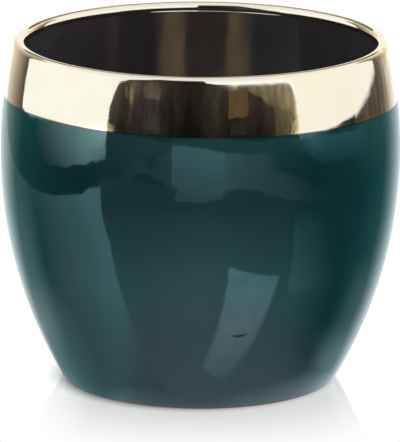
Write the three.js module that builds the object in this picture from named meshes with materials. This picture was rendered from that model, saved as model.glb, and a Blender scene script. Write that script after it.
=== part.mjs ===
// A glazed ceramic cover pot for a house plant.
// A slip-cast clay body, whose side is one long arc, carries three fired coats: a teal glaze outside,
// a dark glaze inside, and a gold lustre band over the lip, which hides the line where the glazes meet.
// Millimetres, +Z up, with the origin on the table in the middle of the foot ring.

import * as THREE from "three";

// Overall form
const BELLY_DIAMETER = 150;
const BELLY_HEIGHT = 87.5;
const HEIGHT = 130;
const SIDE_ARC_RADIUS = 172;

// Wall and floor, both measured over the glaze
const WALL_THICKNESS = 4.6;
const FLOOR_THICKNESS = 6;
const FLOOR_FILLET_RADIUS = 12;

// Foot, in bare clay
const HEEL_RADIUS = 2;
const FOOT_RING_WIDTH = 4.5;
const FOOT_RECESS_DEPTH = 2.5;

// Fired coats, each a hair clear of what it covers
const BOND_CLEARANCE = 0.02;
const GLAZE_THICKNESS = 0.5;
const LUSTRE_THICKNESS = 0.15;
const LUSTRE_BAND_HEIGHT = 21.5;
const LUSTRE_INSIDE_REACH = 0.6;

// Facets
const TURN_STEPS = 60;
const OUTER_STEPS = 11;
const INNER_STEPS = 6;
const BAND_STEPS = 2;
const LIP_STEPS = 3;
const CORNER_STEPS = 3;

const UP = Math.PI / 2;
const DOWN = -Math.PI / 2;

// The section is drawn in the plane of the axis, as (distance from the axis, height).
// The side's arc has its centre level with the belly, on the far side of the axis.
const lipTop = HEIGHT - LUSTRE_THICKNESS;
const lipRadius = WALL_THICKNESS / 2;
const innerArcRadius = SIDE_ARC_RADIUS - WALL_THICKNESS;
const sideCentre = new THREE.Vector2(BELLY_DIAMETER / 2 - SIDE_ARC_RADIUS, BELLY_HEIGHT);

// The angle of an arc about the side's centre at which it reaches a height.
function angleAtHeight(height, radius) {
  return Math.asin((height - BELLY_HEIGHT) / radius);
}

function pointOnArc(centre, radius, angle) {
  return new THREE.Vector2(centre.x + radius * Math.cos(angle), centre.y + radius * Math.sin(angle));
}

// The heel rounds the foot of the side, and its own lowest point is where the clay meets the table.
const heelArcRadius = SIDE_ARC_RADIUS - HEEL_RADIUS - GLAZE_THICKNESS;
const heelAngle = angleAtHeight(HEEL_RADIUS, heelArcRadius);
const heelCentre = pointOnArc(sideCentre, heelArcRadius, heelAngle);

// The lip is a full round between the outer and the inner arc.
const lipArcRadius = SIDE_ARC_RADIUS - lipRadius;
const lipAngle = angleAtHeight(lipTop - lipRadius, lipArcRadius);
const lipCentre = pointOnArc(sideCentre, lipArcRadius, lipAngle);

// The hollow ends in a fillet and a flat floor.
const floorHeight = FOOT_RECESS_DEPTH + FLOOR_THICKNESS;
const filletArcRadius = innerArcRadius - FLOOR_FILLET_RADIUS;
const filletAngle = angleAtHeight(floorHeight + FLOOR_FILLET_RADIUS, filletArcRadius);
const filletCentre = pointOnArc(sideCentre, filletArcRadius, filletAngle);

// The band's two edges, outside and inside
const bandAngle = angleAtHeight(HEIGHT - LUSTRE_BAND_HEIGHT, SIDE_ARC_RADIUS);
const innerBandAngle = lipAngle - LUSTRE_INSIDE_REACH / innerArcRadius;

function arcPoints(centre, radius, from, to, steps) {
  const points = [];
  for (let i = 0; i <= steps; i++) {
    points.push(pointOnArc(centre, radius, from + ((to - from) * i) / steps));
  }
  return points;
}

// A stretch of the glazed surface is an arc. Its surface either bulges away from the arc's centre or is
// hollow towards it, so a layer that lies deeper in the wall runs on a smaller or a larger radius.
const BULGING = 1;
const HOLLOW = -1;

function stretch(centre, radius, facing, from, to, steps) {
  return { centre, radius, facing, from, to, steps };
}

const sideBelowBand = stretch(sideCentre, SIDE_ARC_RADIUS, BULGING, heelAngle, bandAngle, OUTER_STEPS);
const sideUnderBand = stretch(sideCentre, SIDE_ARC_RADIUS, BULGING, bandAngle, lipAngle, BAND_STEPS);
const lipOutside = stretch(lipCentre, lipRadius, BULGING, lipAngle, UP, LIP_STEPS);
const lipInside = stretch(lipCentre, lipRadius, BULGING, UP, lipAngle + Math.PI, LIP_STEPS);
const innerUnderBand = stretch(sideCentre, innerArcRadius, HOLLOW, lipAngle, innerBandAngle, 1);
const innerBelowBand = stretch(sideCentre, innerArcRadius, HOLLOW, innerBandAngle, filletAngle, INNER_STEPS);
const floorFillet = stretch(filletCentre, FLOOR_FILLET_RADIUS, HOLLOW, filletAngle, DOWN, CORNER_STEPS);

const OUTSIDE = [sideBelowBand, sideUnderBand, lipOutside];
const INSIDE = [lipInside, innerUnderBand, innerBelowBand, floorFillet];
const OVER_LIP = [sideUnderBand, lipOutside, lipInside, innerUnderBand];

// The line that runs along some stretches at a depth under the glazed surface, or above it where the
// depth is negative. Stretches share their end points, so each after the first leaves its start out.
function trace(stretches, depth) {
  return stretches.flatMap(({ centre, radius, facing, from, to, steps }, i) =>
    arcPoints(centre, radius - facing * depth, from, to, steps).slice(i === 0 ? 0 : 1),
  );
}

// The face of a coat and its back, which lies just clear of the surface under it, as one outline that
// runs anticlockwise and closes on itself.
function coatOutline(stretches, faceDepth, coveredDepth) {
  const face = trace(stretches, faceDepth);
  const back = trace(stretches, coveredDepth - BOND_CLEARANCE).reverse();
  return [...face, ...back, face[0]];
}

// A solid of revolution about +Z. The outline starts and ends on the axis or closes on itself.
function turned(name, outline, material) {
  const geometry = new THREE.LatheGeometry(outline, TURN_STEPS);
  geometry.rotateX(Math.PI / 2);
  const mesh = new THREE.Mesh(geometry, material);
  mesh.name = name;
  return mesh;
}

// The hollow under the pot: two quarter rounds, each half as high as the recess is deep, lead up from
// the flat ring to its ceiling.
function footOutline() {
  const round = FOOT_RECESS_DEPTH / 2;
  const recessRadius = heelCentre.x - FOOT_RING_WIDTH - round;
  const ceilingRound = new THREE.Vector2(recessRadius - round, FOOT_RECESS_DEPTH - round);
  const ringRound = new THREE.Vector2(recessRadius + round, round);
  return [
    new THREE.Vector2(0, FOOT_RECESS_DEPTH),
    ...arcPoints(ceilingRound, round, UP, 0, CORNER_STEPS),
    ...arcPoints(ringRound, round, Math.PI, 1.5 * Math.PI, CORNER_STEPS).slice(1),
    ...arcPoints(heelCentre, HEEL_RADIUS, DOWN, heelAngle, CORNER_STEPS),
  ];
}

// The clay body lies one glaze thickness under the surface all round, except on its bare foot.
function ceramicBody() {
  const clay = new THREE.MeshStandardMaterial({ color: 0xcdb095, roughness: 0.85, metalness: 0 });
  const outline = [
    ...footOutline(),
    ...trace([...OUTSIDE, ...INSIDE], GLAZE_THICKNESS).slice(1),
    new THREE.Vector2(0, floorHeight - GLAZE_THICKNESS),
  ];
  return turned("ceramic_body", outline, clay);
}

// The outer glaze starts where the bare heel ends and meets the inner glaze on the lip's crest.
function outerGlaze() {
  const teal = new THREE.MeshStandardMaterial({ color: 0x0e3c3d, roughness: 0.06, metalness: 0 });
  return turned("outer_glaze", coatOutline(OUTSIDE, 0, GLAZE_THICKNESS), teal);
}

// The inner glaze runs down from the crest and right across the floor.
function innerGlaze() {
  const dark = new THREE.MeshStandardMaterial({ color: 0x1d1817, roughness: 0.08, metalness: 0 });
  const backDepth = GLAZE_THICKNESS - BOND_CLEARANCE;
  const outline = [
    new THREE.Vector2(0, floorHeight - backDepth),
    ...trace(INSIDE, backDepth).reverse(),
    ...trace(INSIDE, 0),
    new THREE.Vector2(0, floorHeight),
  ];
  return turned("inner_glaze", outline, dark);
}

// The lustre lies on top of both glazes.
function goldRimBand() {
  const gold = new THREE.MeshStandardMaterial({ color: 0xe9d29a, roughness: 0.05, metalness: 1 });
  return turned("gold_rim_band", coatOutline(OVER_LIP, -LUSTRE_THICKNESS, 0), gold);
}

const coverPot = new THREE.Group();
coverPot.add(ceramicBody(), outerGlaze(), innerGlaze(), goldRimBand());

export default coverPot;
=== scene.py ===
import math

import bpy
import numpy as np
from mathutils import Matrix


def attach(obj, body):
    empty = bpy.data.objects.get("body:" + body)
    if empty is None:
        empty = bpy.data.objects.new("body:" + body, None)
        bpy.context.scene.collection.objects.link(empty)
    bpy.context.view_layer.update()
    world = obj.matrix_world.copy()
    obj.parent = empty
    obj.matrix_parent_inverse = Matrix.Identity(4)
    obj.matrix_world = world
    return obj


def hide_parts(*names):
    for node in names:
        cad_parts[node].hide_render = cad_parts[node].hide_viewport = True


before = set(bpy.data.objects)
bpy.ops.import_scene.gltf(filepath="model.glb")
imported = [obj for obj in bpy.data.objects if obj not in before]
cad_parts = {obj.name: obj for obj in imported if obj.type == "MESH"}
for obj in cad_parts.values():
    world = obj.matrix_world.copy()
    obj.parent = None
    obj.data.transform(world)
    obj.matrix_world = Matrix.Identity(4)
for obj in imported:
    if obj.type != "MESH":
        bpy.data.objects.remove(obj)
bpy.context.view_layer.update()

# The pot of the part's source with finer meshes and its materials, in a studio like the photo's.
# Sizes are in millimetres, the same as in that source.
BELLY_DIAMETER = 150.0
BELLY_HEIGHT = 87.5
HEIGHT = 130.0
SIDE_ARC_RADIUS = 172.0
WALL_THICKNESS = 4.6
FLOOR_THICKNESS = 6.0
FLOOR_FILLET_RADIUS = 12.0
HEEL_RADIUS = 2.0
FOOT_RING_WIDTH = 4.5
FOOT_RECESS_DEPTH = 2.5
BOND_CLEARANCE = 0.02
GLAZE_THICKNESS = 0.5
LUSTRE_THICKNESS = 0.15
LUSTRE_BAND_HEIGHT = 21.5
LUSTRE_INSIDE_REACH = 0.6

# The film of gold is far thinner than its solid and lies a hair above the glaze
FILM_THICKNESS = 0.05
FILM_CLEARANCE = 0.01

# The roll of glaze along the inner lip: its form in millimetres, and in degrees round the turn where its
# middle is, how far to both sides of that it is full, and how far it reaches
ROLL_HEIGHT = 0.25
ROLL_WIDTH = 0.12
ROLL_DEPTH_IN = 0.42
ROLL_BAND = 0.9
ROLL_MIDDLE, ROLL_FULL, ROLL_END = 85.0, 12.0, 30.0

# Steps along the section, with fewer on the clay, which the glaze covers, and steps of the turn
SIDE_STEPS, CLAY_SIDE_STEPS, BAND_SIDE_STEPS = 130, 60, 30
WALL_STEPS, CLAY_WALL_STEPS = 90, 40
LIP_STEPS, ROLL_STEPS, FILLET_STEPS = 16, 16, 16
HEEL_STEPS, RECESS_STEPS, END_STEPS = 10, 8, 6
FLOOR_RINGS, RECESS_RINGS = 14, 12
TURN_STEPS = 320
SHARP_EDGE = math.radians(50.0)

MM = 0.001
TABLE_HEIGHT = 0.0
UP = math.pi / 2
DOWN = -math.pi / 2
BULGING = 1.0
HOLLOW = -1.0

# The section of the pot, built from arcs as (distance from the axis, height)
lip_top = HEIGHT - LUSTRE_THICKNESS
lip_radius = WALL_THICKNESS / 2
inner_arc_radius = SIDE_ARC_RADIUS - WALL_THICKNESS
side_centre = (BELLY_DIAMETER / 2 - SIDE_ARC_RADIUS, BELLY_HEIGHT)


def angle_at(height, radius):
    """The angle of an arc about the side's centre at which it reaches a height."""
    return math.asin((height - BELLY_HEIGHT) / radius)


def on_side(radius, angle):
    return (side_centre[0] + radius * math.cos(angle), side_centre[1] + radius * math.sin(angle))


heel_arc_radius = SIDE_ARC_RADIUS - HEEL_RADIUS - GLAZE_THICKNESS
heel_angle = angle_at(HEEL_RADIUS, heel_arc_radius)
heel_centre = on_side(heel_arc_radius, heel_angle)

lip_arc_radius = SIDE_ARC_RADIUS - lip_radius
lip_angle = angle_at(lip_top - lip_radius, lip_arc_radius)
lip_centre = on_side(lip_arc_radius, lip_angle)

floor_height = FOOT_RECESS_DEPTH + FLOOR_THICKNESS
fillet_arc_radius = inner_arc_radius - FLOOR_FILLET_RADIUS
fillet_angle = angle_at(floor_height + FLOOR_FILLET_RADIUS, fillet_arc_radius)
fillet_centre = on_side(fillet_arc_radius, fillet_angle)

band_angle = angle_at(HEIGHT - LUSTRE_BAND_HEIGHT, SIDE_ARC_RADIUS)
inner_band_angle = lip_angle - LUSTRE_INSIDE_REACH / inner_arc_radius


def arc(centre, radius, facing, start, end, steps, depth=0.0):
    """Rows of (distance, height, normal's distance, normal's height) along an arc, at a depth under it."""
    angle = np.linspace(start, end, steps + 1)
    across, along = np.cos(angle), np.sin(angle)
    run = radius - facing * depth
    return np.stack([centre[0] + run * across, centre[1] + run * along, facing * across, facing * along], 1)


def outside(depth, start=heel_angle, steps=SIDE_STEPS):
    """The side, from the heel or from higher up, and the lip's outer half."""
    side = arc(side_centre, SIDE_ARC_RADIUS, BULGING, start, lip_angle, steps, depth)
    lip = arc(lip_centre, lip_radius, BULGING, lip_angle, UP, LIP_STEPS, depth)
    return np.concatenate([side, lip[1:]])


def inside(depth, end=fillet_angle, steps=WALL_STEPS, roll=0.0):
    """The lip's inner half and the hollow's wall, with a share of the roll along the wall's upper edge."""
    lip = arc(lip_centre, lip_radius, BULGING, UP, lip_angle + math.pi, LIP_STEPS, depth)
    top_end = max(end, lip_angle - ROLL_BAND / inner_arc_radius)
    top = arc(side_centre, inner_arc_radius, HOLLOW, lip_angle, top_end, ROLL_STEPS, depth)
    down = np.hypot(*(top[:, :2] - top[0, :2]).T)
    rise = roll * ROLL_HEIGHT * np.exp(-(((down - ROLL_DEPTH_IN) / ROLL_WIDTH) ** 2) / 2)
    top[:, :2] += top[:, 2:] * rise[:, None]
    rows = [lip, top[1:]]
    if end < top_end:
        rows.append(arc(side_centre, inner_arc_radius, HOLLOW, top_end, end, steps, depth)[1:])
    return np.concatenate(rows)


def roll_share(phi):
    """The glaze gathered in a roll at the far side of the mouth, and the roll dies away to both ends."""
    off = abs(math.degrees(phi) - ROLL_MIDDLE)
    share = min(1.0, max(0.0, (ROLL_END - off) / (ROLL_END - ROLL_FULL)))
    return share * share * (3 - 2 * share)


def floor(depth):
    """The fillet at the foot of the hollow's wall and the flat floor, in to the axis."""
    fillet = arc(fillet_centre, FLOOR_FILLET_RADIUS, HOLLOW, fillet_angle, DOWN, FILLET_STEPS, depth)
    rings = np.linspace(fillet_centre[0], 0.0, FLOOR_RINGS)[1:]
    return np.concatenate([fillet[1:], [(ring, floor_height - depth, 0.0, 1.0) for ring in rings]])


def foot():
    """The bare foot from the middle of the recess out to the heel."""
    turn = FOOT_RECESS_DEPTH / 2
    recess = heel_centre[0] - FOOT_RING_WIDTH - turn
    rings = np.linspace(0.0, recess - turn, RECESS_RINGS)
    flat = [(ring, FOOT_RECESS_DEPTH, 0.0, -1.0) for ring in rings]
    ceiling = arc((recess - turn, turn), turn, HOLLOW, UP, 0.0, RECESS_STEPS)
    ring = arc((recess + turn, turn), turn, BULGING, math.pi, 1.5 * math.pi, RECESS_STEPS)
    heel = arc(heel_centre, HEEL_RADIUS, BULGING, DOWN, heel_angle, HEEL_STEPS)
    return np.concatenate([flat, ceiling[1:], ring[1:], heel])


def rounded_end(face_end, back_end):
    """The rounded edge between the ends of a coat's back and its face, in the plane of the section."""
    a, b = np.array(back_end[:2]), np.array(face_end[:2])
    middle, half = (a + b) / 2, (a - b) / 2
    away = np.array([half[1], -half[0]])
    turn = np.linspace(0, math.pi, END_STEPS + 1)[1:-1]
    spots = middle + np.outer(np.cos(turn), half) + np.outer(np.sin(turn), away)
    lean = (spots - middle) / np.linalg.norm(half)
    return np.concatenate([spots, lean], 1)


# Meshes turned about the axis
TURN = np.arange(TURN_STEPS) * 2 * math.pi / TURN_STEPS
ON_AXIS = 1e-6

# The slow unevenness of a cast and dipped pot, as waves of (height in millimetres, direction, phase)
WAVES = (
    (0.016, (0.11, 0.05, 0.21), 0.4),
    (0.014, (-0.16, 0.12, 0.13), 1.9),
    (0.012, (0.07, -0.21, -0.17), 3.1),
    (0.008, (0.27, 0.19, 0.09), 5.0),
    (0.007, (-0.22, 0.26, -0.14), 0.9),
    (0.004, (0.41, -0.33, 0.30), 2.2),
)


def spun(rows):
    """The points of one section for each step of the turn, moved along their normals by the waves. None goes
    under the table."""
    c, s = np.cos(TURN)[:, None], np.sin(TURN)[:, None]
    points = np.stack([rows[..., 0] * c, rows[..., 0] * s, rows[..., 1]], -1)
    normals = np.stack([rows[..., 2] * c, rows[..., 2] * s, rows[..., 3]], -1)
    swell = sum(height * np.sin(points @ np.array(wave) + phase) for height, wave, phase in WAVES)
    points = points + normals * swell[..., None]
    points[..., 2] = np.maximum(points[..., 2], TABLE_HEIGHT)
    return points


def turned_faces(count, on_axis):
    """Quads between sections of so many points, which close on themselves or else on a pole at each end."""
    steps, rows = np.meshgrid(np.arange(TURN_STEPS), np.arange(count - int(on_axis)), indexing="ij")
    next_steps, next_rows = (steps + 1) % TURN_STEPS, (rows + 1) % count
    corners = ((steps, rows), (next_steps, rows), (next_steps, next_rows), (steps, next_rows))
    faces = np.stack([step * count + row for step, row in corners], -1).reshape(-1, 4).tolist()
    if on_axis:
        first_pole, last_pole = TURN_STEPS * count, TURN_STEPS * count + 1
        for step in range(TURN_STEPS):
            start, next_start = step * count, (step + 1) % TURN_STEPS * count
            faces.append((first_pole, next_start, start))
            faces.append((last_pole, start + count - 1, next_start + count - 1))
    return faces


def turned(name, rows):
    """A closed mesh of revolution about +Z. rows is one section, or one for each step of the turn, which
    runs anticlockwise and either closes on itself or starts and ends on the axis."""
    rows = np.asarray(rows, float)
    if rows.ndim == 2:
        rows = np.repeat(rows[None], TURN_STEPS, 0)
    points = spun(rows)
    poles = []
    on_axis = rows[0, 0, 0] < ON_AXIS
    if on_axis:
        poles = [points[:, :1].mean(0), points[:, -1:].mean(0)]
        points = points[:, 1:-1]
    verts = np.concatenate([points.reshape(-1, 3), *poles]) * MM
    mesh = bpy.data.meshes.new(name)
    mesh.from_pydata(verts.tolist(), [], turned_faces(points.shape[1], on_axis))
    mesh.polygons.foreach_set("use_smooth", [True] * len(mesh.polygons))
    mesh.set_sharp_from_angle(angle=SHARP_EDGE)
    mesh.update()
    obj = bpy.data.objects.new(name, mesh)
    bpy.context.scene.collection.objects.link(obj)
    return obj


# Node trees
def set_inputs(node, values):
    for name, value in values.items():
        node.inputs[name].default_value = value


class Field:
    """A value that varies over a surface, as an output of a node. Arithmetic on it adds nodes."""

    def __init__(self, tree, socket):
        self.tree, self.socket = tree, socket

    def __add__(self, other):
        return self.tree.math("ADD", self, other)

    def __sub__(self, other):
        return self.tree.math("SUBTRACT", self, other)

    def __mul__(self, other):
        return self.tree.math("MULTIPLY", self, other)

    def __rtruediv__(self, other):
        return self.tree.math("DIVIDE", other, self)

    def __pow__(self, other):
        return self.tree.math("POWER", self, other)

    def __abs__(self):
        return self.tree.math("ABSOLUTE", self)

    def __lt__(self, other):
        return self.tree.math("LESS_THAN", self, other)

    def __gt__(self, other):
        return self.tree.math("GREATER_THAN", self, other)

    def at_least(self, other):
        return self.tree.math("MAXIMUM", self, other)

    def quadratic(self, square, plain, constant):
        return self * (self * square + plain) + constant

    def slope(self, start, end, at_start, at_end, smooth=False):
        """A straight slope between two values while this field goes from start to end, and level beyond."""
        node = self.tree.add("MapRange")
        node.interpolation_type = "SMOOTHSTEP" if smooth else "LINEAR"
        set_inputs(node, {"From Min": start, "From Max": end, "To Min": at_start, "To Max": at_end})
        self.tree.link(self, node.inputs["Value"])
        return Field(self.tree, node.outputs["Result"])

    def ease(self, start, end, at_start, at_end):
        """The same as slope, with soft ends."""
        return self.slope(start, end, at_start, at_end, smooth=True)


class Tree:
    """A node tree, with short ways to add the nodes that the looks below are made of."""

    # Where a Mix node has its colours
    COLOUR_A, COLOUR_B, COLOUR_RESULT = 6, 7, 2

    def __init__(self, node_tree):
        self.nodes, self.links = node_tree.nodes, node_tree.links

    def add(self, kind):
        return self.nodes.new("ShaderNode" + kind)

    def output(self, kind, name):
        """An output of a new node that needs no input."""
        return Field(self, self.add(kind).outputs[name])

    def attribute(self, name):
        """A value that the mesh carries."""
        node = self.add("Attribute")
        node.attribute_name = name
        return Field(self, node.outputs["Fac"])

    def link(self, field, socket):
        self.links.new(field.socket, socket)

    def feed(self, value, socket):
        """Links a field to a socket, or sets the socket to a number or a colour."""
        if isinstance(value, Field):
            self.link(value, socket)
        else:
            socket.default_value = (*value, 1) if isinstance(value, tuple) else value

    def math(self, operation, *values):
        node = self.add("Math")
        node.operation = operation
        for value, socket in zip(values, node.inputs):
            self.feed(value, socket)
        return Field(self, node.outputs["Value"])

    def split(self, vector):
        node = self.add("SeparateXYZ")
        self.link(vector, node.inputs["Vector"])
        return [Field(self, node.outputs[axis]) for axis in "XYZ"]

    def distance(self, coords, spot):
        node = self.add("VectorMath")
        node.operation = "DISTANCE"
        node.inputs[1].default_value = spot
        self.link(coords, node.inputs[0])
        return Field(self, node.outputs["Value"])

    def noise(self, coords, scale, detail, rough=0.5, stretch=None):
        if stretch is not None:
            mapping = self.add("Mapping")
            mapping.inputs["Scale"].default_value = stretch
            self.link(coords, mapping.inputs["Vector"])
            coords = Field(self, mapping.outputs["Vector"])
        node = self.add("TexNoise")
        set_inputs(node, {"Scale": scale, "Detail": detail, "Roughness": rough})
        self.link(coords, node.inputs["Vector"])
        return Field(self, node.outputs["Fac"])

    def ramp(self, value, stops):
        """A colour that runs through stops of (value, colour)."""
        node = self.add("ValToRGB")
        elements = node.color_ramp.elements
        for element, (place, colour) in ((elements[0], stops[0]), (elements[1], stops[-1])):
            element.position = place
            element.color = (*colour, 1)
        for place, colour in stops[1:-1]:
            elements.new(place).color = (*colour, 1)
        self.link(value, node.inputs["Fac"])
        return Field(self, node.outputs["Color"])

    def mix(self, factor, a, b):
        """Colour a where the factor is 0 and colour b where it is 1."""
        node = self.add("Mix")
        node.data_type = "RGBA"
        self.link(factor, node.inputs["Factor"])
        self.feed(a, node.inputs[self.COLOUR_A])
        self.feed(b, node.inputs[self.COLOUR_B])
        return Field(self, node.outputs[self.COLOUR_RESULT])

    def bump(self, height, distance):
        node = self.add("Bump")
        set_inputs(node, {"Strength": 1.0, "Distance": distance})
        self.link(height, node.inputs["Height"])
        return Field(self, node.outputs["Normal"])

    def blend(self, factor, a, b):
        """Shader a where the factor is 0 and shader b where it is 1."""
        node = self.add("MixShader")
        self.link(factor, node.inputs["Fac"])
        self.links.new(a.outputs[0], node.inputs[1])
        self.links.new(b.outputs[0], node.inputs[2])
        return node


def new_look(name):
    look = bpy.data.materials.new(name)
    look.use_nodes = True
    return look, Tree(look.node_tree)


# Materials of the pot. Noise scales are in waves per metre. A fade is (start, end, value at the start, value
# at the end), as Field.slope takes it, and heights and depths in the looks are in metres.
TEAL = ((0.3, (0.0038, 0.0245, 0.0262)), (0.5, (0.0043, 0.0275, 0.0295)), (0.72, (0.0051, 0.0315, 0.0338)))
TEAL_SPECK = (0.0075, 0.044, 0.047)
# Painted light: a lighter teal under the gold band, where more light falls on the top of the pot
TEAL_PAINTED_LIGHT_BELOW_GOLD = (0.0085, 0.051, 0.0535)
TEAL_OVER_HEEL = (0.075, 0.062, 0.050)
TEAL_GLOSS = (0.50, 0.98, 1.0, 1.0)
TEAL_SHEEN = (0.05, 0.75, 0.70, 1.0)
SPECKS = (0.62, 0.78, 0.0, 0.35)
PAINTED_LIGHT_BELOW_GOLD = (0.086, 0.112, 0.0, 1.0)
OVER_HEEL = (0.0006, 0.0030, 0.75, 0.0)
TEAL_ROUGHNESS = (0.3, 0.7, 0.035, 0.06)
FLAW_GLOSS = (0.0, 1.0, 0.5, 0.04)
GOLD = ((0.3, (0.91, 0.81, 0.60)), (0.55, (0.94, 0.84, 0.63)), (0.75, (0.92, 0.82, 0.59)))
GOLD_WORN = (0.16, 0.10, 0.05)
WORN_EDGE = (0.05, 0.45, 0.85, 0.0)
GOLD_ROUGHNESS = (0.3, 0.75, 0.03, 0.075)
BRUSH_MARKS = (30.0, 30.0, 900.0)
DARK = ((0.3, (0.084, 0.075, 0.081)), (0.7, (0.104, 0.093, 0.100)))
DARK_GLOSS = (1.0, 0.90, 0.77, 1.0)
DARK_ROUGHNESS = (0.3, 0.7, 0.02, 0.045)
CLAY = ((0.3, (0.19, 0.125, 0.095)), (0.7, (0.29, 0.20, 0.15)))
GLAZE_PEEL, DARK_PEEL, CLAY_GRAIN = 0.00002, 0.000003, 0.00006

# Two flaws in the glaze: a pin hole, and a short scratch along the lower part of a circle
PIT_SPOT, PIT_RADIUS = (-0.07175, -0.02174, 0.0903), 0.0008
BOW_CENTRE, BOW_RADIUS = (0.0146, -0.0666, 0.0395), 0.0080
BOW_HALF_WIDTH, BOW_FULL, BOW_HALF_LENGTH = 0.0009, 0.0012, 0.0036


def pit(tree, coords):
    """1 in the middle of the pin hole, falling to 0 at its edge."""
    return tree.distance(coords, PIT_SPOT).ease(0.0, PIT_RADIUS, 1.0, 0.0)


def bow(tree, coords):
    """1 along the middle of the scratch, falling to 0 at its edges and ends."""
    x, _, z = tree.split(coords)
    off_line = abs(tree.distance(coords, BOW_CENTRE) - BOW_RADIUS)
    off_middle = abs(x - BOW_CENTRE[0])
    line = off_line.ease(0.0, BOW_HALF_WIDTH, 1.0, 0.0)
    return line * off_middle.slope(BOW_FULL, BOW_HALF_LENGTH, 1.0, 0.0) * (z < BOW_CENTRE[2])


def teal_glaze():
    """Cloudy and finely specked, lighter under the band by painted light, and so thin at the heel that the
    clay shows.
    """
    look, tree = new_look("teal_glaze_look")
    shader = tree.nodes["Principled BSDF"]
    coords = tree.output("TexCoord", "Object")
    height = tree.split(coords)[2]
    colour = tree.ramp(tree.noise(coords, scale=28.0, detail=3.0), TEAL)
    specks = tree.noise(coords, scale=900.0, detail=2.0)
    colour = tree.mix(specks.ease(*SPECKS), colour, TEAL_SPECK)
    # Painted light: the teal turns lighter towards the top, under the gold
    colour = tree.mix(height.ease(*PAINTED_LIGHT_BELOW_GOLD), colour, TEAL_PAINTED_LIGHT_BELOW_GOLD)
    colour = tree.mix(height.ease(*OVER_HEEL), colour, TEAL_OVER_HEEL)
    tree.link(colour, shader.inputs["Base Color"])
    mottle = tree.noise(coords, scale=60.0, detail=2.0)
    tree.link(mottle.slope(*TEAL_ROUGHNESS), shader.inputs["Roughness"])
    flaws = bow(tree, coords).at_least(pit(tree, coords))
    tree.link(flaws.slope(*FLAW_GLOSS), shader.inputs["Specular IOR Level"])
    set_inputs(shader, {"IOR": 1.8, "Specular Tint": TEAL_GLOSS})
    set_inputs(shader, {"Sheen Weight": 0.5, "Sheen Roughness": 0.45, "Sheen Tint": TEAL_SHEEN})
    peel = tree.noise(coords, scale=240.0, detail=1.0)
    tree.link(tree.bump(peel, GLAZE_PEEL), shader.inputs["Normal"])
    return look


def gold_lustre():
    """A cloudy film with faint brush marks round the pot, worn brown along its lower edge."""
    look, tree = new_look("gold_lustre_look")
    shader = tree.nodes["Principled BSDF"]
    coords = tree.output("TexCoord", "Object")
    colour = tree.ramp(tree.noise(coords, scale=55.0, detail=3.0), GOLD)
    colour = tree.mix(tree.attribute("from_edge").ease(*WORN_EDGE), colour, GOLD_WORN)
    tree.link(colour, shader.inputs["Base Color"])
    set_inputs(shader, {"Metallic": 1.0})
    streak = tree.noise(coords, scale=1.0, detail=2.0, stretch=BRUSH_MARKS)
    tree.link(streak.slope(*GOLD_ROUGHNESS), shader.inputs["Roughness"])
    peel = tree.noise(coords, scale=180.0, detail=1.0)
    tree.link(tree.bump(peel, GLAZE_PEEL), shader.inputs["Normal"])
    return look


def dark_glaze():
    """Warm and very dark, with a strong gloss."""
    look, tree = new_look("dark_glaze_look")
    shader = tree.nodes["Principled BSDF"]
    coords = tree.output("TexCoord", "Object")
    cloud = tree.noise(coords, scale=35.0, detail=3.0)
    tree.link(tree.ramp(cloud, DARK), shader.inputs["Base Color"])
    set_inputs(shader, {"IOR": 2.7, "Specular Tint": DARK_GLOSS})
    mottle = tree.noise(coords, scale=70.0, detail=2.0)
    tree.link(mottle.slope(*DARK_ROUGHNESS), shader.inputs["Roughness"])
    peel = tree.noise(coords, scale=240.0, detail=1.0)
    tree.link(tree.bump(peel, DARK_PEEL), shader.inputs["Normal"])
    return look


def bare_clay():
    """Matt, reddish brown and grainy."""
    look, tree = new_look("bare_clay_look")
    shader = tree.nodes["Principled BSDF"]
    coords = tree.output("TexCoord", "Object")
    cloud = tree.noise(coords, scale=120.0, detail=5.0, rough=0.65)
    tree.link(tree.ramp(cloud, CLAY), shader.inputs["Base Color"])
    set_inputs(shader, {"Roughness": 0.85})
    grain = tree.noise(coords, scale=1500.0, detail=3.0)
    tree.link(tree.bump(grain, CLAY_GRAIN), shader.inputs["Normal"])
    return look


# Pieces
def dressed(obj, look, node):
    """Gives a piece its material, hangs it on the body it rides on, and hides the node it replaces."""
    obj.data.materials.append(look)
    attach(obj, "root")
    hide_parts(node)
    return obj


# The clay lies one glaze thickness under the surface all round, except on its bare foot
clay_side = outside(GLAZE_THICKNESS, steps=CLAY_SIDE_STEPS)
clay_wall = inside(GLAZE_THICKNESS, steps=CLAY_WALL_STEPS)
body_rows = np.concatenate([foot(), clay_side[1:], clay_wall[1:], floor(GLAZE_THICKNESS)])
dressed(turned("clay_body", body_rows), bare_clay(), "ceramic_body")

# The outer glaze starts with a rounded edge above the heel and ends on the crest of the lip
back_depth = GLAZE_THICKNESS - BOND_CLEARANCE
face, back = outside(0.0), outside(back_depth)
outer_rows = np.concatenate([rounded_end(face[0], back[0]), face, back[::-1]])
dressed(turned("outer_glaze_skin", outer_rows), teal_glaze(), "outer_glaze")

# The inner glaze runs down from the crest and across the floor, with the roll at the far side
inner_back = np.concatenate([inside(back_depth), floor(back_depth)])[::-1]
inner_faces = [np.concatenate([inside(0.0, roll=roll_share(phi)), floor(0.0)]) for phi in TURN]
inner_rows = [np.concatenate([inner_back, inner_face]) for inner_face in inner_faces]
dressed(turned("inner_glaze_skin", inner_rows), dark_glaze(), "inner_glaze")

# The gold was painted by hand. Its lower edge is tilted, down at the right and up at the left, and wanders
# in waves of (height in millimetres, count round the pot, phase). Its inner edge has waves of one kind.
EDGE_RISE, EDGE_TILT = 0.12, 0.75
EDGE_WAVES = ((0.10, 3, 1.0), (0.07, 7, 0.5), (0.04, 13, 2.0))
INNER_EDGE_HEIGHT, INNER_EDGE_COUNT = 0.08, 5


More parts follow.
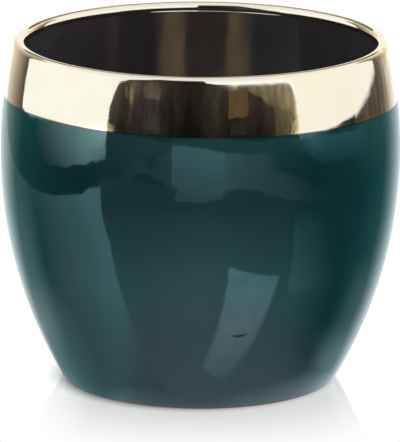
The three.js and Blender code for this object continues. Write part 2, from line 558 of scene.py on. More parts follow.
def band_rows(phi):
    """The section of the gold at one step of the turn: its face over the lip, then its back."""
    wander = sum(height * math.sin(count * phi + phase) for height, count, phase in EDGE_WAVES)
    start = band_angle + (EDGE_RISE - EDGE_TILT * math.cos(phi) + wander) / SIDE_ARC_RADIUS
    end = inner_band_angle + INNER_EDGE_HEIGHT * math.sin(INNER_EDGE_COUNT * phi) / inner_arc_radius
    layers = []
    for depth in (-FILM_THICKNESS, -FILM_CLEARANCE):
        outer = outside(depth, start=start, steps=BAND_SIDE_STEPS)
        inner = inside(depth, end=end, roll=roll_share(phi))
        layers.append(np.concatenate([outer, inner[1:]]))
    face, back = layers
    return np.concatenate([face, back[::-1]])


gold_rows = np.array([band_rows(phi) for phi in TURN])
gold = dressed(turned("gold_lustre_film", gold_rows), gold_lustre(), "gold_rim_band")

# The gold carries how far each point is from the band's lower edge in millimetres, the same on face and back
gold_face = gold_rows[0, : gold_rows.shape[1] // 2, :2]
along = np.concatenate([[0.0], np.cumsum(np.hypot(*np.diff(gold_face, axis=0).T))])
from_edge = np.tile(np.concatenate([along, along[::-1]]), TURN_STEPS)
gold.data.attributes.new("from_edge", "FLOAT", "POINT").data.foreach_set("value", from_edge)

# Stage: a white table, and round it a studio that the camera does not see but the gloss does.
# Azimuth 0 is towards the camera and grows to the right. Angles are in degrees from STUDIO_CENTRE.
STUDIO_RADIUS = 3.0
STUDIO_CENTRE = np.array((0.0, 0.0, 0.09))
STUDIO_FOOT = -20
PANEL_STEP, PANEL_RISE, LEAST_RISES = 2.0, 3.0, 3

# How uneven light is clouded. A ray that has met gloss only once has a glossy depth under FIRST_GLOSS.
CLOUD_STRETCH = (1.0, 1.0, 0.6)
CLOUD_LOW, CLOUD_HIGH = 0.32, 0.68
FIRST_GLOSS = 1.5


def stage_object(name, verts, faces, look):
    mesh = bpy.data.meshes.new(name)
    mesh.from_pydata(verts, [], faces)
    mesh.materials.append(look)
    obj = bpy.data.objects.new(name, mesh)
    bpy.context.scene.collection.objects.link(obj)
    return obj


def glow_look(name, tint, mottle=None):
    """Light as strong as the mesh's own glow, in one tint, and uneven if mottle is (scale, low, high). It
    shows in the gloss at first hand only, not in what the hollow throws to and fro."""
    look, tree = new_look(name)
    tree.nodes.remove(tree.nodes["Principled BSDF"])
    strength = tree.attribute("glow")
    if mottle is not None:
        scale, low, high = mottle
        place = tree.output("NewGeometry", "Position")
        cloud = tree.noise(place, scale, detail=4.0, rough=0.6, stretch=CLOUD_STRETCH)
        strength = strength * cloud.slope(CLOUD_LOW, CLOUD_HIGH, low, high)
    strength = strength * (tree.output("LightPath", "Glossy Depth") < FIRST_GLOSS)
    lamp = tree.add("Emission")
    lamp.inputs["Color"].default_value = (*tint, 1)
    tree.link(strength, lamp.inputs["Strength"])
    tree.links.new(lamp.outputs["Emission"], tree.nodes["Material Output"].inputs["Surface"])
    return look


def panel(name, stations, look, nearer=0.0, lights=False):
    """A curved panel between stations of (azimuth, bottom, top, glow at the bottom, glow at the top), nearer
    by some metres than the studio's radius. Only gloss sees it, unless it lights the pot."""
    stations = np.array(stations, float)
    marks = np.arange(stations[0, 0], stations[-1, 0], PANEL_STEP)
    across = np.unique(np.concatenate([stations[:, 0], marks]))
    bottom, top, glow_bottom, glow_top = (np.interp(across, stations[:, 0], row) for row in stations.T[1:])
    rises = max(LEAST_RISES, int((top - bottom).max() / PANEL_RISE))
    share = np.linspace(0.0, 1.0, 1 + rises)[:, None]
    e = np.radians(bottom + (top - bottom) * share)
    a = np.broadcast_to(np.radians(across), e.shape)
    spots = np.stack([np.cos(e) * np.sin(a), -np.cos(e) * np.cos(a), np.sin(e)], -1)
    verts = (STUDIO_CENTRE + (STUDIO_RADIUS - nearer) * spots).reshape(-1, 3).tolist()
    wide = len(across)
    corners = [row * wide + column for row in range(rises) for column in range(wide - 1)]
    faces = [(k, k + 1, k + wide + 1, k + wide) for k in corners]
    obj = stage_object(name, verts, faces, look)
    glow = glow_bottom + (glow_top - glow_bottom) * share
    obj.data.attributes.new("glow", "FLOAT", "POINT").data.foreach_set("value", glow.ravel())
    obj.visible_camera = False
    obj.visible_diffuse = lights
    obj.visible_shadow = lights
    return obj


def even(first, last, bottom, top, glow_bottom, glow_top=None):
    """Stations of a panel that is the same all along, in one glow unless another is given for the top."""
    glow_top = glow_bottom if glow_top is None else glow_top
    return [(at, bottom, top, glow_bottom, glow_top) for at in (first, last)]


def over(hem, top, glow_bottom, glow_top):
    """Stations from a hem of (azimuth, bottom) up to one top, in one glow."""
    return [(at, bottom, top, glow_bottom, glow_top) for at, bottom in hem]


def upright(bottom, top, glows):
    """Stations between one bottom and one top, of (azimuth, glow at the bottom, glow at the top)."""
    return [(at, bottom, top, glow_bottom, glow_top) for at, glow_bottom, glow_top in glows]


left_light = glow_look("left_light", (0.93, 1.0, 1.13))
right_light = glow_look("right_light", (0.95, 1.0, 1.09))
neutral = glow_look("neutral_light", (1.0, 1.0, 1.0))
WARM_GREY = (1.09, 1.0, 0.86)
warm = glow_look("warm_grey", WARM_GREY)
cool = glow_look("cool_white", (0.94, 1.0, 1.16))

# Two tall softboxes, which lean in over the room behind the camera. The right one lights the pot too. What
# hangs below them, and the ceiling above, shows only in the gloss.
SOFTBOX_MIDDLE, SOFTBOX_TOP, LEAN_TOP = 42, 66, 75
LEFT_HEM = (
    (-126, -5.4), (-115, -5.0), (-108, -4.2), (-97, -3.0),
    (-87, -2.0), (-76, -0.6), (-66, 0.4), (-54.5, 1.0),
)
RIGHT_HEM = (
    (57.3, -1.6), (83, -2.0), (100, -1.8), (108, -1.2), (114, -1.0), (120, -0.5), (127, -0.2),
)
FRINGE_DEPTH = 1.2
for side, hem, look, glow in (("left", LEFT_HEM, left_light, 1.12), ("right", RIGHT_HEM, right_light, 1.06)):
    name, lights = "softbox_" + side, side == "right"
    panel(name, over(hem, SOFTBOX_MIDDLE, glow, glow), look, lights=lights)
    upper = even(hem[0][0], hem[-1][0], SOFTBOX_MIDDLE, SOFTBOX_TOP, 1.0)
    panel(name + "_top", upper, look, lights=lights)
fringe = [(at, bottom - FRINGE_DEPTH, bottom, 0.10, 1.0) for at, bottom in RIGHT_HEM[2:]]
panel("right_fringe", fringe, right_light)
panel(
    "softbox_right_lean",
    (
        (30, 60, LEAN_TOP, 1.0, 1.0),
        (35, 48, LEAN_TOP, 1.05, 1.0),
        *over(((40, 35), (45, 29), (57.3, 17)), LEAN_TOP, 1.06, 1.0),
    ),
    right_light,
    nearer=0.03,
)
panel(
    "softbox_left_lean",
    (
        *over(((-54.5, 5.6), (-52.6, 9.0), (-51.2, 11.3), (-49.5, 12.7)), LEAN_TOP, 1.08, 1.0),
        *over(((-46, 14.6), (-43, 25)), LEAN_TOP, 1.0, 1.0),
        (-38, 37, LEAN_TOP, 0.9, 0.9),
        (-35, 60, LEAN_TOP, 0.8, 0.8),
    ),
    left_light,
    nearer=0.03,
)
CEILING_FOOT, CEILING_TOP = 48, 89.9
panel("ceiling", even(-180, 180, CEILING_FOOT, CEILING_TOP, 0.92), cool, nearer=-0.2)
panel(
    "left_skirt",
    (
        (-108, -9, -4.2, 0.02, 0.07),
        (-97, -10.6, -3.0, 0.10, 0.46),
        (-87, -10.4, -2.0, 0.32, 1.10),
        (-76, -9.4, -0.6, 0.90, 1.72),
        (-69, -8.9, 0.1, 1.25, 2.5),
        (-65, -8.2, 0.4, 1.40, 2.9),
        (-58, -7.2, 0.8, 1.10, 3.7),
        (-54.5, -6.6, 1.0, 0.85, 3.7),
    ),
    glow_look("left_skirt", (1.06, 0.97, 0.95)),
)
panel(
    "right_skirt",
    (
        (48, -2.5, 0, 0.08, 0.20),
        (57, -4.2, -1.6, 0.08, 0.35),
        (66, -6.5, -1.7, 0.12, 0.95),
        (76, -8.5, -2.4, 0.10, 0.50),
        (84, -9, -3.6, 0.10, 0.38),
        (95, -9, -4.4, 0.10, 0.36),
        (104, -10, -4.8, 0.08, 0.25),
        (112, -12, -5.0, 0.04, 0.15),
    ),
    glow_look("right_skirt", (0.66, 1.0, 1.05)),
    nearer=0.02,
)

# The dim room behind the camera as (azimuth, glow). Its foot sinks to both sides.
ROOM = (
    (-54.5, 0.10), (-51, 0.07), (-47, 0.035), (-43, 0.035), (-41, 0.07), (-38, 0.040), (-34, 0.035),
    (-30, 0.060), (-26, 0.045), (-22, 0.025), (-14, 0.026), (-10, 0.012), (-2, 0.013), (4, 0.024),
    (10, 0.030), (28, 0.023), (36, 0.028), (42, 0.045), (50, 0.085), (57.3, 0.13),
)
ROOM_MIDDLE, ROOM_TOP = 15, 40
ROOM_FOOT, ROOM_SINK, ROOM_HALF_WIDTH = 0.9, 1.3, 55
ROOM_GLOW_BOTTOM, ROOM_GLOW_TOP = 0.35, 1.35
room = glow_look("dim_room", (1.12, 1.0, 0.98), (2.6, 0.45, 1.55))
lower_room = [
    (
        at,
        ROOM_FOOT - ROOM_SINK * (at / ROOM_HALF_WIDTH) ** 2,
        ROOM_MIDDLE,
        ROOM_GLOW_BOTTOM * glow,
        ROOM_GLOW_TOP * glow,
    )
    for at, glow in ROOM
]
panel("dim_room", lower_room, room, lights=True)
upper_room = upright(ROOM_MIDDLE, ROOM_TOP, [(at, glow, glow) for at, glow in ROOM])
panel("dim_room_upper", upper_room, room, lights=True)
panel("dim_room_high", ((-38, ROOM_TOP, 60, 0.04, 0.06), (3, ROOM_TOP, 55, 0.04, 0.06)), room)

# Patches of what stands in the room, a little nearer than its dim wall
IN_ROOM = 0.04
fleck = glow_look("room_fleck", (1.12, 1.0, 0.70), (22.0, 0.0, 1.7))
panel(
    "room_fleck_left",
    ((-54.5, -0.2, 2.6, 0.5, 0.3), (-51.5, 0.2, 1.9, 0.5, 0.2), (-48.5, 0.4, 1.2, 0.1, 0.0)),
    fleck,
    nearer=IN_ROOM,
)
panel(
    "room_fleck_right",
    ((52, 0.6, 2.2, 0.05, 0.05), (54, -0.2, 3.4, 0.5, 0.3), (57.3, -0.4, 4.0, 0.9, 0.5)),
    fleck,
    nearer=IN_ROOM + 0.01,
)
olive = glow_look("room_olive", (1.18, 1.0, 0.66), (4.0, 0.6, 1.4))
panel(
    "room_olive",
    ((43.5, 0.4, 7.2, 0.065, 0.085), (50, 0.2, 5.8, 0.085, 0.11), (57.3, -0.3, 1.8, 0.12, 0.2)),
    olive,
    nearer=IN_ROOM + 0.005,
)
grey = glow_look("room_grey", (1.02, 1.0, 1.12), (5.0, 0.6, 1.4))
panel("room_grey", even(-33.4, -23.6, 2.2, 10.0, 0.040), grey, nearer=IN_ROOM)
panel("room_blue", even(17, 27, 2.2, 6.2, 0.018), grey, nearer=IN_ROOM)
mauve = glow_look("room_mauve", (1.16, 0.97, 0.98), (6.0, 0.7, 1.3))
panel("room_mauve", even(-33.4, -23.6, 10.0, 13.2, 0.085), mauve, nearer=IN_ROOM)
panel(
    "room_streak",
    (
        (-43.4, 10.6, 12.2, 0.08, 0.12),
        (-42.2, 8.0, 12.4, 0.15, 0.17),
        (-40.4, 7.0, 11.6, 0.16, 0.14),
        (-39.4, 8.0, 9.4, 0.06, 0.06),
    ),
    olive,
    nearer=IN_ROOM,
)
panel(
    "room_streak_left",
    ((-46.4, 10.6, 12.0, 0.05, 0.10), (-45.2, 9.2, 12.0, 0.10, 0.12), (-43.8, 8.8, 10.4, 0.08, 0.08)),
    olive,
    nearer=IN_ROOM,
)
amber = glow_look("room_amber", (1.45, 1.0, 0.60), (4.0, 0.8, 1.2))
panel("room_amber", even(16.5, 27.5, 6.6, 14, 0.072), amber, nearer=IN_ROOM)
pale = glow_look("room_pale", (1.12, 1.0, 0.72), (5.0, 0.55, 1.45))
panel(
    "room_pale",
    (
        (27.8, 11.2, 14, 0.10, 0.14),
        (36, 9.5, 14, 0.11, 0.16),
        (39.2, 7.9, 14, 0.13, 0.18),
        (44, 6.8, 14, 0.14, 0.20),
        (50, 5.6, 14, 0.15, 0.27),
        (53, 4.6, 14, 0.18, 0.34),
        (55, 2.8, 14, 0.24, 0.45),
        (57.3, 1.6, 14, 0.60, 0.80),
    ),
    pale,
    nearer=IN_ROOM,
)

# The white upper part of the room, whose lower edge falls to the right
ROOM_LIGHT_HEM = (
    (3.4, 20.0), (4.6, 18.2), (6.6, 16.7), (9.4, 15.65), (12.9, 14.77), (17.4, 13.7), (20, 13.3), (26, 13.4),
    (40, 12.7), (47, 12.0), (52, 11.3), (54, 10.8), (55.2, 10.0), (56.2, 8.4), (57.3, 5.5),
)
room_light = [(2.6, 40, LEAN_TOP, 1.0, 0.9), *over(ROOM_LIGHT_HEM, LEAN_TOP, 1.15, 0.9)]
panel("room_light", room_light, cool, nearer=0.06)

# Below the softboxes the studio is dark, with a pale card at the camera's end of the table
DARK_TOP = 1.8
panel(
    "dark_below",
    upright(
        STUDIO_FOOT,
        DARK_TOP,
        (
            (-126, 0.02, 0.02),
            (-70, 0.03, 0.03),
            (-54, 0.04, 0.13),
            (-34, 0.02, 0.22),
            (10, 0.10, 0.25),
            (38, 0.08, 0.22),
            (52, 0.02, 0.15),
            (64, 0.02, 0.03),
            (127, 0.02, 0.02),
        ),
    ),
    neutral,
    nearer=-0.1,
)
card = glow_look("front_card", (0.96, 1.0, 1.09))
panel(
    "front_card",
    (
        (-15.6, -15.8, -0.4, 0.44, 0.80),
        (0, -14.6, -1.5, 0.50, 0.94),
        (8, -14, -2.4, 0.52, 0.98),
        (13, -13.8, -2.9, 0.54, 0.94),
        (15, -12, -3.1, 0.56, 0.68),
        (28, -12, -3.2, 0.42, 0.46),
        (35, -12.6, -3.1, 0.40, 0.40),
        (39.5, -12.2, -3.2, 0.34, 0.32),
        (42, -12, -5.2, 0.26, 0.22),
        (46, -12, -8.1, 0.22, 0.16),
    ),
    card,
    nearer=0.02,
)
panel(
    "front_card_wing",
    (
        (-60, -13.6, -11.8, 0.22, 0.14),
        (-52, -13.4, -10.8, 0.24, 0.18),
        (-46, -12.8, -9.6, 0.20, 0.18),
        (-41, -10.4, -4.6, 0.21, 0.14),
        (-37, -8.6, -3.9, 0.23, 0.20),
        (-34, -8.0, -4.0, 0.24, 0.26),
        (-31, -7.9, -4.4, 0.25, 0.20),
        (-28, -8.2, -3.4, 0.27, 0.04),
        (-24, -9.2, -2.6, 0.29, 0.20),
        (-21, -10.2, -2.4, 0.28, 0.28),
        (-18, -13.0, -1.7, 0.30, 0.32),
        (-16, -15.0, -1.0, 0.32, 0.32),
    ),
    card,
    nearer=0.025,
)
panel(
    "front_card_tail",
    (
        (34, -15, -10, 0.36, 0.36),
        (46, -17, -8.3, 0.36, 0.30),
        (52, -17.5, -9.5, 0.32, 0.22),
        (61, -18, -11.3, 0.22, 0.12),
        (73, -19, -13.5, 0.12, 0.05),
        (84, -19.5, -15.5, 0.04, 0.03),
    ),
    card,
    nearer=0.03,
)

# Towards the back the studio brightens to white, apart from a dim stretch of wall above the table's end
SIDE_TOP = 34
panel(
    "side_left",
    upright(
        STUDIO_FOOT,
        SIDE_TOP,
        (
            (-170, 0.96, 0.96),
            (-160, 0.82, 0.70),
            (-154, 0.72, 0.62),
            (-149, 0.60, 0.54),
            (-144, 0.44, 0.46),
            (-140, 0.32, 0.42),
            (-137, 0.24, 0.38),
            (-134, 0.16, 0.34),
            (-131, 0.09, 0.28),
            (-128, 0.05, 0.20),
            (-126, 0.04, 0.14),
        ),
    ),
    warm,
)
clutter = glow_look("right_clutter", WARM_GREY, (7.0, 0.6, 1.5))
under_softbox = (
    (100, STUDIO_FOOT, -1.2, 0.01, 0.05),
    (112, STUDIO_FOOT, -1.2, 0.02, 0.08),
    (124, STUDIO_FOOT, -0.2, 0.03, 0.10),
)
beside_softbox = upright(
    STUDIO_FOOT,
    SIDE_TOP,
    (
        (127, 0.04, 0.14),
        (132, 0.08, 0.24),
        (136, 0.12, 0.36),
        (139, 0.18, 0.48),
        (142, 0.34, 0.62),
        (147, 0.60, 0.75),
        (152, 0.74, 0.86),
        (160, 0.90, 0.96),
        (170, 1.0, 1.0),
    ),
)
panel("side_right", (*under_softbox, *beside_softbox), clutter, nearer=-0.05)
panel(
    "back_wall",
    ((155, 26, 48, 0.14, 0.45), *even(162, 198, 20, 57, 0.10, 0.50), (205, 26, 48, 0.14, 0.45)),
    warm,
    nearer=0.02,
)

# Light from the room falls through the mouth in upright stripes on the far wall of the hollow. Each is a
# narrow beam, between two distances to the right of the middle in millimetres, as bright as its colour.
STRIPES = (
    (-36.3, -31.6, (0.42, 0.40, 0.20)),
    (-17.8, -14.2, (0.95, 0.92, 0.58)),
    (-14.2, -6.4, (3.25, 2.50, 1.22)),
    (-6.4, 9.9, (0.50, 0.39, 0.24)),
    (10.4, 14.4, (5.60, 4.05, 2.05)),
    (14.4, 18.9, (1.75, 1.42, 0.84)),
    (18.9, 34.6, (0.14, 0.26, 0.28)),
    (34.6, 37.4, (0.56, 0.58, 0.34)),
)
STRIPE_TOP, STRIPE_FOOT = 126.6, 92.0
STRIPE_LENGTHS = 4
BEAM_DOWN = math.radians(20.0)
BEAM_LENGTH = 0.6
BEAM_SPREAD = math.radians(0.15)


def area_lamp(name, width, height, energy):
    """A rectangular lamp that neither the camera nor the gloss sees."""
    lamp = bpy.data.lights.new(name, "AREA")
    lamp.shape = "RECTANGLE"
    lamp.size, lamp.size_y, lamp.energy = width, height, energy
    obj = bpy.data.objects.new(name, lamp)
    bpy.context.scene.collection.objects.link(obj)
    obj.visible_camera = obj.visible_glossy = False
    return obj


def beam(name, left, right, foot, top, colour):
    width, height = (right - left) * MM, (top - foot) * math.cos(BEAM_DOWN) * MM
    obj = area_lamp(name, width, height, max(colour) * width * height)
    obj.data.spread = BEAM_SPREAD
    obj.data.color = [share / max(colour) for share in colour]
    middle, wall_height = (left + right) / 2, (STRIPE_TOP + STRIPE_FOOT) / 2
    wall = on_side(inner_arc_radius, angle_at(wall_height, inner_arc_radius))[0]
    obj.location = (
        middle * MM,
        math.sqrt(wall**2 - middle**2) * MM - BEAM_LENGTH * math.cos(BEAM_DOWN),
        (foot + top) / 2 * MM + BEAM_LENGTH * math.sin(BEAM_DOWN),
    )
    obj.rotation_euler = (UP - BEAM_DOWN, 0.0, 0.0)


# Short lengths of a stripe, one above the other, render with less noise than one long one
levels = np.linspace(STRIPE_FOOT, STRIPE_TOP, STRIPE_LENGTHS + 1)
for number, (left, right, colour) in enumerate(STRIPES):
    for level in range(STRIPE_LENGTHS):
        beam("stripe_%d_%d" % (number, level), left, right, levels[level], levels[level + 1], colour)

# A low soft light from the right
KEY_WIDTH, KEY_TALL, KEY_ENERGY = 1.2, 0.3, 5.0
KEY_SIDE = math.radians(75.0)
KEY_AWAY, KEY_HEIGHT = 2.2, 0.17
key = area_lamp("right_key", KEY_WIDTH, KEY_TALL, KEY_ENERGY)
key.location = (KEY_AWAY * math.sin(KEY_SIDE), -KEY_AWAY * math.cos(KEY_SIDE), KEY_HEIGHT)
key.rotation_euler = (UP, 0.0, KEY_SIDE)

# The table as the camera sees it has a contact shadow at the foot, which leans to the left, and a faint
# mirror image of the pot. Here too a fade is (start, end, value at the start, value at the end), over metres
# or over the turn from the camera's side to the right, in radians.
TABLE_HALF_WIDTH = 6.0
GROUND = (0.92, 0.92, 0.92, 1)
WHITE = (1, 1, 1, 1)
SHADOW_LEAN, SHADOW_END = 0.05, (0.045, 0.056, 0.0, 1.0)
MIRROR_SHARE, MIRROR_FALL = 0.38, 1.4
MIRROR_AWAY = (0.050, 0.115, 1.0, 0.0)
MIRROR_LEFT, MIRROR_RIGHT = (-0.062, -0.040, 0.0, 1.0), (0.048, 0.070, 1.0, 0.2)

# As the gloss sees it, painted light glows on the table in front of the pot, and falls off to the right
NEAR, FAR, SIDEWAYS = (0.11, 0.19, 0.64, 0.41), (0.19, 0.34, 1.0, 0.52), (0.0, 0.75, 1.04, 0.80)
FALL, FALL_SHIFT = (0.70, 1.36, 1.0, 0.06), (0.08, 0.14, 0.18, 0.0)

# Painted light: a paler patch to the right beyond a slanting line, a bright sweep to the left beyond another
LINE_EDGE = (-0.003, 0.003, 0.0, 1.0)
GLINT_SLANT, GLINT_LINE, GLINT_SIDE = 0.7, 0.0313, (0.0, 0.02, 0.0, 1.0)
GLINT_START, GLINT_END = (0.11, 0.14, 0.0, 0.22), (0.22, 0.32, 1.0, 0.0)
SWEEP_SLANT, SWEEP_LINE, SWEEP_BEND = 0.647, 0.0482, (0.20, 0.30, 0.0, 0.018)
SWEEP_SIDE = (-0.02, 0.0, 1.0, 0.0)
SWEEP_AWAY, SWEEP_TURN = 0.17, 1.45
SWEEP_SOFT, SWEEP_STRAIGHT = (-1.50, -0.70, 0.0, 0.95), (-1.70, -0.70, 0.0, 0.93)
SWEEP_FOOT, SWEEP_LEAST = (0.055, 0.13, 0.48, 1.0), (0.09, 0.15, 0.35, 0.11)

# A painted pool of light, a glow on the table, which shows in the glaze as a painted reflection, a bright
# slanting patch. Its left edge is x as a quadratic of y, and its other edges are y as a quadratic of x.
POOL_LEFT, POOL_LEFT_EDGE = (-1.091, -0.6924, -0.0432), (-0.001, 0.003, 0.0, 1.0)
POOL_RIGHT, POOL_RIGHT_EDGE = (-0.615, -0.577, -0.0550), (-0.002, 0.004, 0.0, 1.0)
POOL_BACK, POOL_FRONT = (0.0, 0.892, -0.0723), (0.0, 0.8036, -0.1931)
POOL_EDGE, POOL_GLOW = (-0.002, 0.002, 0.0, 1.0), (0.060, 0.092, 0.10, 0.78)
POOL_CLOUD = (0.3, 0.7, 0.84, 1.16)

# Painted light beside and behind the pot, where the white end of the studio comes down to the table, and at
# its foot. Near the pot, what counts as behind begins at a smaller turn. MIDDLE is where left passes to
# right.
MIDDLE = (-0.01, 0.01)
BEHIND_CLOSE, BEHIND_SHIFT = 5.0, (*MIDDLE, 0.045, 0.070)
LEFT_NEAR, LEFT_FAR = (0.062, 0.085, 0.1, 1.0), (0.17, 0.29, 1.0, 0.55)
RIGHT_FAR = (0.12, 0.17, 1.0, 0.2)
BESIDE, BEHIND = (1.60, 1.88, 0.0, 0.21), (1.86, 2.50, 0.0, 1.12)
RIGHT_FOOT, RIGHT_FOOT_SIDE = (0.064, 0.095, 0.32, 0.0), (0.95, 1.2, 0.0, 1.0)
FOOT_GLOW = (0.050, 0.070, 0.85, 0.0)
FOOT_LEFT, FOOT_RIGHT = (-0.85, -0.53, 0.50, 1.0), (0.1, 0.4, 1.0, 1.25)
DIFFUSE_SHARE = (0.0, 1.0, 1.0, 0.5)

# The tint of that painted light, which is rosy close in front of the pot, greener to the right, neutral
# behind
PLAIN_TINT, ROSY_TINT = (0.95, 1.11, 1.16), (1.06, 0.84, 0.93)
GREENER_TINT, BEHIND_TINT = (0.72, 1.0, 1.03), (1.0, 1.0, 1.02)
ROSY_LEFT, ROSY_RIGHT, ROSY_AWAY = (-0.70, -0.40, 0.0, 1.0), (0.9, 1.4, 1.0, 0.0), (0.08, 0.16, 1.0, 0.0)
GREENER_LEFT, GREENER_RIGHT = (0.35, 0.95, 0.0, 1.0), (1.35, 1.65, 1.0, 0.0)
GREENER_AWAY, NEUTRAL = (0.07, 0.11, 0.0, 1.0), (1.85, 2.10, 0.0, 1.0)

# The table's edges: the front with a step at each end, the left end, and the cut corner at the right
FRONT_EDGE = (-0.086, 0.01, -0.352, -0.398)
FRONT_LEFT_STEP, FRONT_RIGHT_STEP = (-0.0935, -0.086, -0.128, 0.0), (0.085, 0.098, 0.0, -0.067)
LEFT_EDGE = (-0.20, -0.16, -0.365, -0.340)
CORNER_X, CORNER_Y, CORNER_EDGE = 0.943, 0.333, 0.335


class TableSpot:
    """Where a point of the table lies: its place, how far away from the axis, the turn from the camera to it
    in radians, and how far behind the pot that is."""

    def __init__(self, tree):
        self.place = tree.output("NewGeometry", "Position")
        self.x, self.y, _ = tree.split(self.place)
        self.away = tree.math("SQRT", self.x**2.0 + self.y**2.0)
        self.toward = tree.math("ARCTAN2", self.x, self.y * -1.0)
        closer = 1.0 / self.away - BEHIND_CLOSE
        self.behind = abs(self.toward) + closer * self.x.slope(*BEHIND_SHIFT)


def seen_table(tree, spot):
    """The table where the camera sees it: white, with the pot's shadow and a faint mirror image of it."""
    ground = tree.nodes["Principled BSDF"]
    set_inputs(ground, {"Base Color": GROUND, "Roughness": 0.6, "Specular IOR Level": 0.0})
    shaded = spot.away + spot.x * SHADOW_LEAN
    open_ground = tree.blend(shaded.ease(*SHADOW_END), ground, tree.add("Emission"))
    mirror = tree.add("BsdfGlossy")
    set_inputs(mirror, {"Color": WHITE, "Roughness": 0.0})
    reach = spot.away.slope(*MIRROR_AWAY) ** MIRROR_FALL * spot.x.slope(*MIRROR_LEFT)
    return tree.blend(reach * spot.x.slope(*MIRROR_RIGHT) * MIRROR_SHARE, open_ground, mirror)


def painted_pool_light(tree, spot):
    """The painted pool of light within its four edges, a little uneven, and dimmer close to the pot."""
    x, y = spot.x, spot.y
    pool = (x - y.quadratic(*POOL_LEFT)).ease(*POOL_LEFT_EDGE)
    pool = pool * (x.quadratic(*POOL_RIGHT) - y).ease(*POOL_RIGHT_EDGE)
    pool = pool * (x.quadratic(*POOL_BACK) - y).ease(*POOL_EDGE)
    pool = pool * (y - x.quadratic(*POOL_FRONT)).ease(*POOL_EDGE)
    cloud = tree.noise(spot.place, scale=55.0, detail=3.0)
    return pool * spot.away.slope(*POOL_GLOW) * cloud.slope(*POOL_CLOUD)


def painted_table_light(tree, spot):
    """How bright the gloss sees the table: painted light, a glow of the table's own material."""
    x, y, away, toward, behind = spot.x, spot.y, spot.away, spot.toward, spot.behind
    lit = away.slope(*NEAR) * away.slope(*FAR) * abs(toward).ease(*SIDEWAYS)
    glint = away.ease(*GLINT_START) * away.ease(*GLINT_END)
    right = (y + x * GLINT_SLANT + GLINT_LINE).ease(*LINE_EDGE) * x.ease(*GLINT_SIDE)
    lit = lit + glint * right
    lit = lit * (toward + away.slope(*FALL_SHIFT)).ease(*FALL)

    left_line = y - x * SWEEP_SLANT + SWEEP_LINE - away.slope(*SWEEP_BEND)
    left = left_line.ease(*LINE_EDGE) * x.ease(*SWEEP_SIDE)
    turning = toward + (away - SWEEP_AWAY) * SWEEP_TURN
    sweep = turning.ease(*SWEEP_SOFT).at_least(turning.slope(*SWEEP_STRAIGHT))
    sweep = (sweep * away.slope(*SWEEP_FOOT)).at_least(away.ease(*SWEEP_LEAST))
    lit = lit + left * (sweep - lit) + painted_pool_light(tree, spot)

    beside_left = away.slope(*LEFT_NEAR) * away.slope(*LEFT_FAR) * x.slope(*MIDDLE, 1.0, 0.0)
    beside_right = away.slope(*RIGHT_FAR) * x.slope(*MIDDLE, 0.0, 1.0)
    lit = lit + (beside_left + beside_right) * behind.ease(*BESIDE)
    lit = lit + away.ease(*RIGHT_FOOT) * toward.ease(*RIGHT_FOOT_SIDE)
    lit = lit.at_least(behind.ease(*BEHIND))
    lit = lit.at_least(away.ease(*FOOT_GLOW) * toward.ease(*FOOT_LEFT) * toward.ease(*FOOT_RIGHT))
    return lit * tree.output("LightPath", "Is Diffuse Ray").slope(*DIFFUSE_SHARE)


def painted_table_tint(tree, spot):
    away, toward = spot.away, spot.toward
    rosy = toward.ease(*ROSY_LEFT) * toward.ease(*ROSY_RIGHT) * away.ease(*ROSY_AWAY)
    greener = toward.ease(*GREENER_LEFT) * toward.ease(*GREENER_RIGHT) * away.ease(*GREENER_AWAY)
    tint = tree.mix(rosy, PLAIN_TINT, ROSY_TINT)
    tint = tree.mix(greener, tint, GREENER_TINT)
    return tree.mix(spot.behind.ease(*NEUTRAL), tint, BEHIND_TINT)


def off_table(spot):
    """1 beyond the table's edges, where the gloss sees past it."""
    x, y = spot.x, spot.y
    front = x.slope(*FRONT_EDGE) + x.slope(*FRONT_LEFT_STEP) + x.slope(*FRONT_RIGHT_STEP)
    off = (y < front).at_least(x < y.slope(*LEFT_EDGE))
    return off.at_least(x * CORNER_X - y * CORNER_Y > CORNER_EDGE)


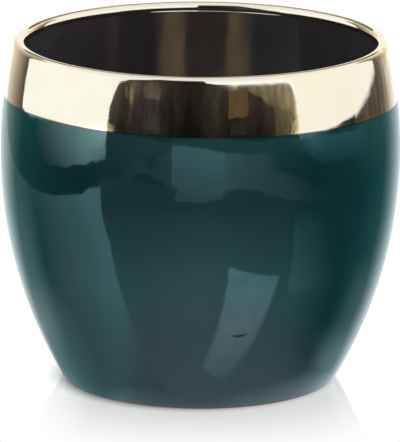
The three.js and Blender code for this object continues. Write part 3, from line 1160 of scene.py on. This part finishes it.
def table_top():
    """White where the camera sees it. What the gloss of the pot sees is painted light, a glow of the table
    itself
    and not light from the lamps: pale near the pot, with a bright sweep to the left, dim to the right, and
    gone beyond its edges."""
    look, tree = new_look("table_white_painted_light")
    spot = TableSpot(tree)
    # Painted light: the table glows in this pattern where the gloss sees it
    lit = tree.add("Emission")
    tree.link(painted_table_light(tree, spot), lit.inputs["Strength"])
    tree.link(painted_table_tint(tree, spot), lit.inputs["Color"])
    mirrored = tree.blend(off_table(spot), lit, tree.add("BsdfTransparent"))
    both = tree.blend(tree.output("LightPath", "Is Camera Ray"), mirrored, seen_table(tree, spot))
    tree.links.new(both.outputs["Shader"], tree.nodes["Material Output"].inputs["Surface"])
    return look


signs = ((-1, -1), (1, -1), (1, 1), (-1, 1))
corners = [(TABLE_HALF_WIDTH * x, TABLE_HALF_WIDTH * y, TABLE_HEIGHT) for x, y in signs]
stage_object("table", corners, [(0, 1, 2, 3)], table_top())

# The world is white where the camera, gloss or glass sees it, and a little dimmer as a light
WORLD_STRENGTH = (0.0, 1.0, 0.80, 1.0)


def add_world():
    world = bpy.data.worlds.new("studio")
    world.use_nodes = True
    tree = Tree(world.node_tree)
    seen = tree.output("LightPath", "Is Camera Ray").at_least(tree.output("LightPath", "Is Glossy Ray"))
    seen = seen.at_least(tree.output("LightPath", "Is Transmission Ray"))
    background = tree.nodes["Background"]
    background.inputs["Color"].default_value = WHITE
    tree.link(seen.slope(*WORLD_STRENGTH), background.inputs["Strength"])
    bpy.context.scene.world = world


add_world()

# Camera, as the photo was taken: a long lens from in front and a little above, held slightly askew
CAMERA_SPOT = (0.0, -2.134, 0.5845)
CAMERA_DOWN = math.radians(13.82)
CAMERA_ROLL = math.radians(0.35)
SENSOR_WIDTH, FOCAL_LENGTH, CLIP_END = 36.0, 475.0, 50.0
camera = bpy.data.objects.new("camera", bpy.data.cameras.new("camera"))
bpy.context.scene.collection.objects.link(camera)
camera.data.sensor_width = SENSOR_WIDTH
camera.data.lens = FOCAL_LENGTH
camera.data.clip_end = CLIP_END
camera.location = CAMERA_SPOT
tilt = Matrix.Rotation(UP - CAMERA_DOWN, 3, "X") @ Matrix.Rotation(CAMERA_ROLL, 3, "Z")
camera.rotation_euler = tilt.to_euler()
bpy.context.scene.camera = camera

bpy.context.scene.view_settings.view_transform = "Standard"
